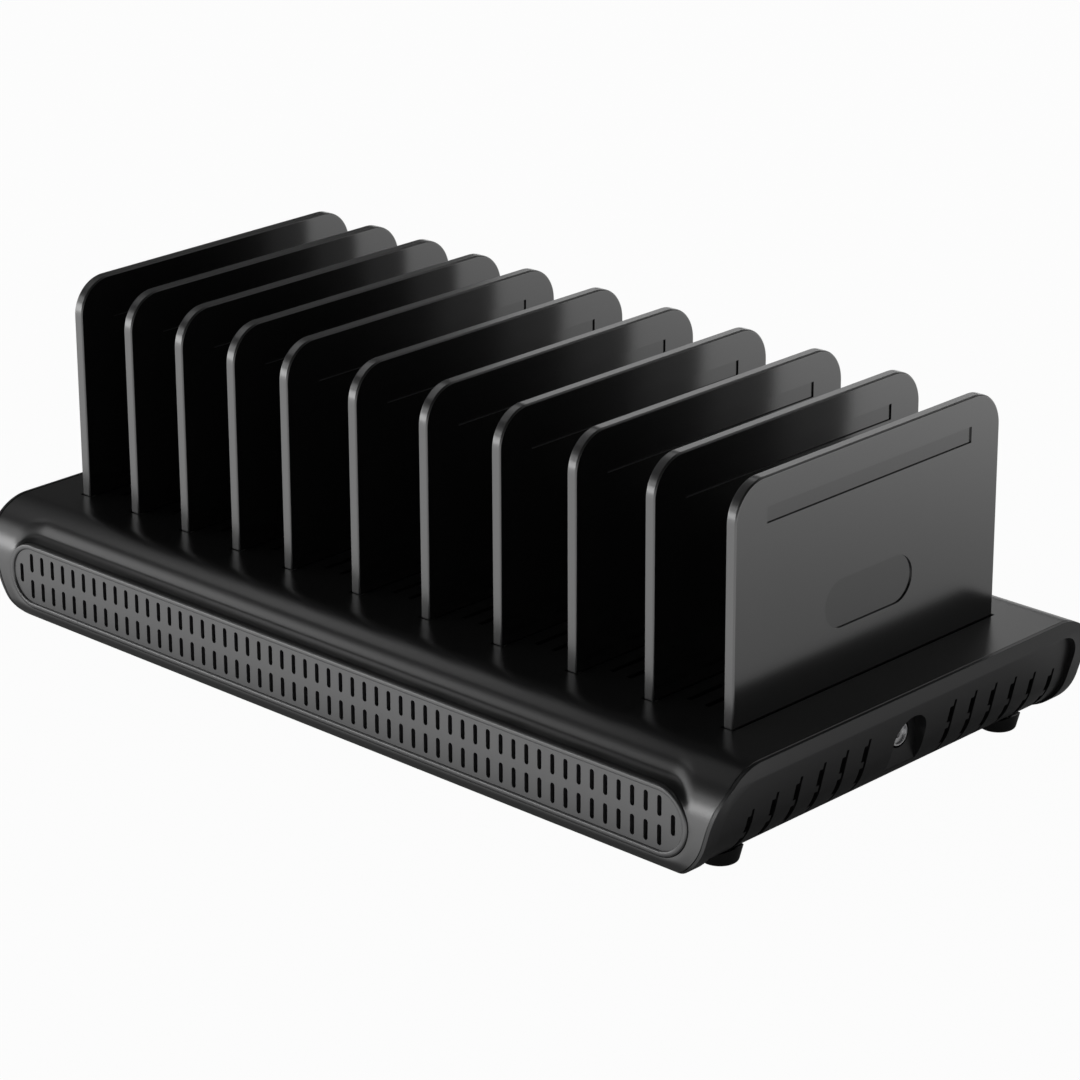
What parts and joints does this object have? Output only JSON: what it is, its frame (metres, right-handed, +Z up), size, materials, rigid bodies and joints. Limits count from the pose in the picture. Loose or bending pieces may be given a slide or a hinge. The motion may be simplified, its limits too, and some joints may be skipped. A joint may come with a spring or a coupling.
{
  "type": "charging station organizer",
  "caption": "Low charging station base with a slotted front grille, louvred ends and a row of upright removable dividers that hold devices on edge over a USB charger.",
  "frame": {"origin": "on the table, under the middle of the base", "axes": "+X along the length towards the end with the power inlet, -Y towards the front grille, +Z up"},
  "size_m": [0.272, 0.1478, 0.0959],
  "materials": {
    "shell_black": "satin moulded black",
    "tray_black": "fine texture, black",
    "cap_black": "satin moulded black",
    "grille_grey": "satin dark grey",
    "divider_black": "fine satin black",
    "foot_rubber": "smooth black",
    "board_green": "solder mask",
    "coil_ferrite": "pressed ferrite",
    "chip_epoxy": "moulded epoxy",
    "can_aluminium": "bright can",
    "port_steel": "tinned steel",
    "tongue_plastic": "white moulded",
    "jack_plastic": "moulded black",
    "contact_metal": "nickel plated",
    "screw_steel": "zinc plated"
  },
  "bodies": {
    "base": {"top_shell": "shell_black", "base_tray": "tray_black", "left_end_cap": "cap_black", "right_end_cap": "cap_black", "front_grille": "grille_grey", "port_panel": "grille_grey", "main_board": "board_green", "power_coils": "coil_ferrite", "converter_chips": "chip_epoxy", "capacitors": "can_aluminium", "power_jack": "jack_plastic", "jack_sleeve": "contact_metal", "jack_pin": "contact_metal", "tray_screws": "screw_steel", "board_screws": "screw_steel", "usb_port_01": "port_steel", "usb_port_02": "port_steel", "usb_port_03": "port_steel", "usb_port_04": "port_steel", "usb_port_05": "port_steel", "usb_port_06": "port_steel", "usb_port_07": "port_steel", "usb_port_08": "port_steel", "usb_port_09": "port_steel", "usb_port_10": "port_steel", "port_tongue_01": "tongue_plastic", "port_tongue_02": "tongue_plastic", "port_tongue_03": "tongue_plastic", "port_tongue_04": "tongue_plastic", "port_tongue_05": "tongue_plastic", "port_tongue_06": "tongue_plastic", "port_tongue_07": "tongue_plastic", "port_tongue_08": "tongue_plastic", "port_tongue_09": "tongue_plastic", "port_tongue_10": "tongue_plastic", "foot_front_left": "foot_rubber", "foot_rear_left": "foot_rubber", "foot_front_right": "foot_rubber", "foot_rear_right": "foot_rubber"},
    "divider_01": {"divider_01": "divider_black"},
    "divider_02": {"divider_02": "divider_black"},
    "divider_03": {"divider_03": "divider_black"},
    "divider_04": {"divider_04": "divider_black"},
    "divider_05": {"divider_05": "divider_black"},
    "divider_06": {"divider_06": "divider_black"},
    "divider_07": {"divider_07": "divider_black"},
    "divider_08": {"divider_08": "divider_black"},
    "divider_09": {"divider_09": "divider_black"},
    "divider_10": {"divider_10": "divider_black"},
    "divider_11": {"divider_11": "divider_black"}
  },
  "joints": [
    {"name": "divider_01_lift", "type": "slide", "parent": "base", "child": "divider_01", "axis": [0, 0, 1], "range_m": [0, 0.016]},
    {"name": "divider_02_lift", "type": "slide", "parent": "base", "child": "divider_02", "axis": [0, 0, 1], "range_m": [0, 0.016]},
    {"name": "divider_03_lift", "type": "slide", "parent": "base", "child": "divider_03", "axis": [0, 0, 1], "range_m": [0, 0.016]},
    {"name": "divider_04_lift", "type": "slide", "parent": "base", "child": "divider_04", "axis": [0, 0, 1], "range_m": [0, 0.016]},
    {"name": "divider_05_lift", "type": "slide", "parent": "base", "child": "divider_05", "axis": [0, 0, 1], "range_m": [0, 0.016]},
    {"name": "divider_06_lift", "type": "slide", "parent": "base", "child": "divider_06", "axis": [0, 0, 1], "range_m": [0, 0.016]},
    {"name": "divider_07_lift", "type": "slide", "parent": "base", "child": "divider_07", "axis": [0, 0, 1], "range_m": [0, 0.016]},
    {"name": "divider_08_lift", "type": "slide", "parent": "base", "child": "divider_08", "axis": [0, 0, 1], "range_m": [0, 0.016]},
    {"name": "divider_09_lift", "type": "slide", "parent": "base", "child": "divider_09", "axis": [0, 0, 1], "range_m": [0, 0.016]},
    {"name": "divider_10_lift", "type": "slide", "parent": "base", "child": "divider_10", "axis": [0, 0, 1], "range_m": [0, 0.016]},
    {"name": "divider_11_lift", "type": "slide", "parent": "base", "child": "divider_11", "axis": [0, 0, 1], "range_m": [0, 0.016]}
  ]
}
